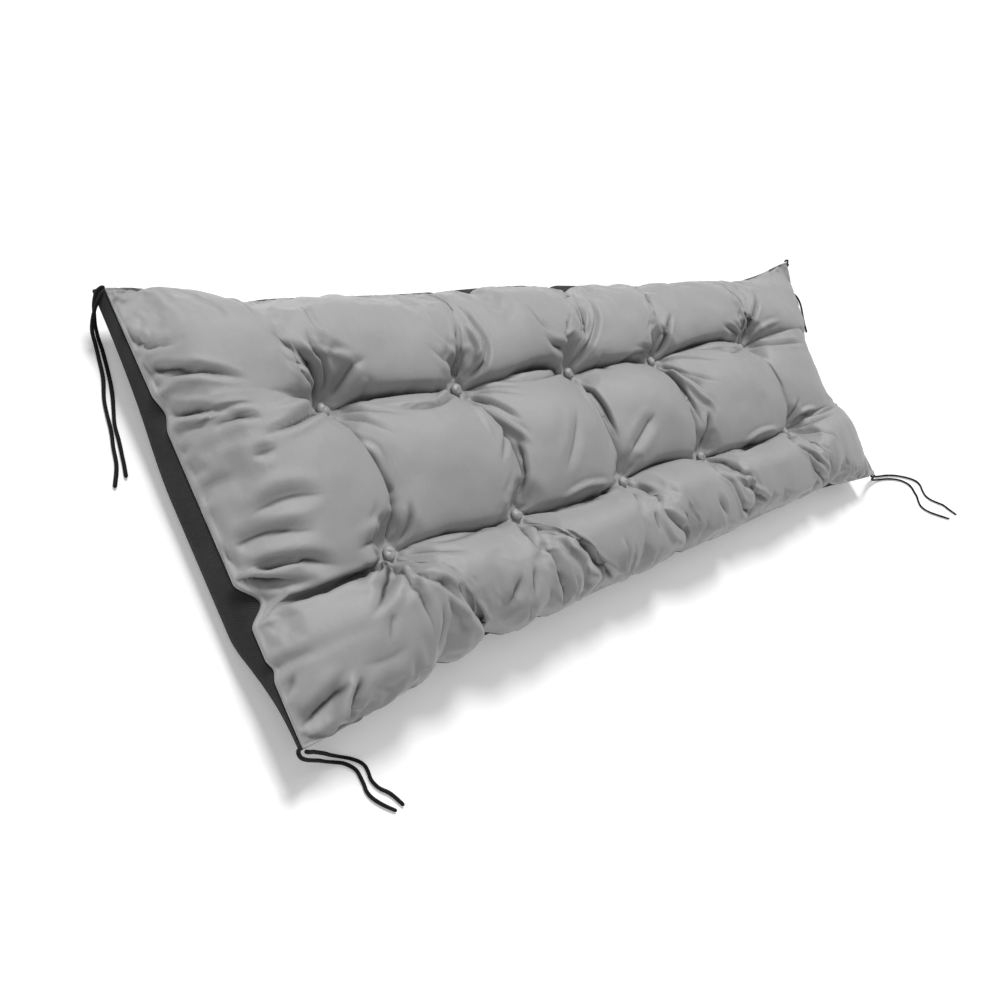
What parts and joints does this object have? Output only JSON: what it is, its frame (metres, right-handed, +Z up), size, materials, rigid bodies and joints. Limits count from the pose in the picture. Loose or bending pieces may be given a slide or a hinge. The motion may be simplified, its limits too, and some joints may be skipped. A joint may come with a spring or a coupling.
{
  "type": "bench cushion",
  "caption": "Long rectangular tufted bench cushion with a puffed grey face, covered buttons, a flat black underside and doubled cord ties at its corners.",
  "frame": {"origin": "middle of the cushion's footprint, on the floor that its underside lies on", "axes": "+X along the cushion, +Y across it, +Z up out of the grey buttoned face"},
  "size_m": [1.9964, 0.6608, 0.1214],
  "materials": {
    "grey_cloth": "smooth woven polyester with a soft sheen",
    "black_cloth": "matt black ribbed cloth",
    "black_cord": "matt black woven cord"
  },
  "bodies": {
    "root": {"filled_face": "grey_cloth", "underside_panel": "black_cloth", "button_bottom_1": "grey_cloth", "button_bottom_2": "grey_cloth", "button_bottom_3": "grey_cloth", "button_bottom_4": "grey_cloth", "button_bottom_5": "grey_cloth", "button_top_1": "grey_cloth", "button_top_2": "grey_cloth", "button_top_3": "grey_cloth", "button_top_4": "grey_cloth", "button_top_5": "grey_cloth", "tie_bottom_left_a": "black_cord", "tie_bottom_left_b": "black_cord", "tie_bottom_right_a": "black_cord", "tie_bottom_right_b": "black_cord", "tie_top_left_a": "black_cord", "tie_top_left_b": "black_cord", "tie_top_right_a": "black_cord", "tie_top_right_b": "black_cord"}
  },
  "joints": []
}
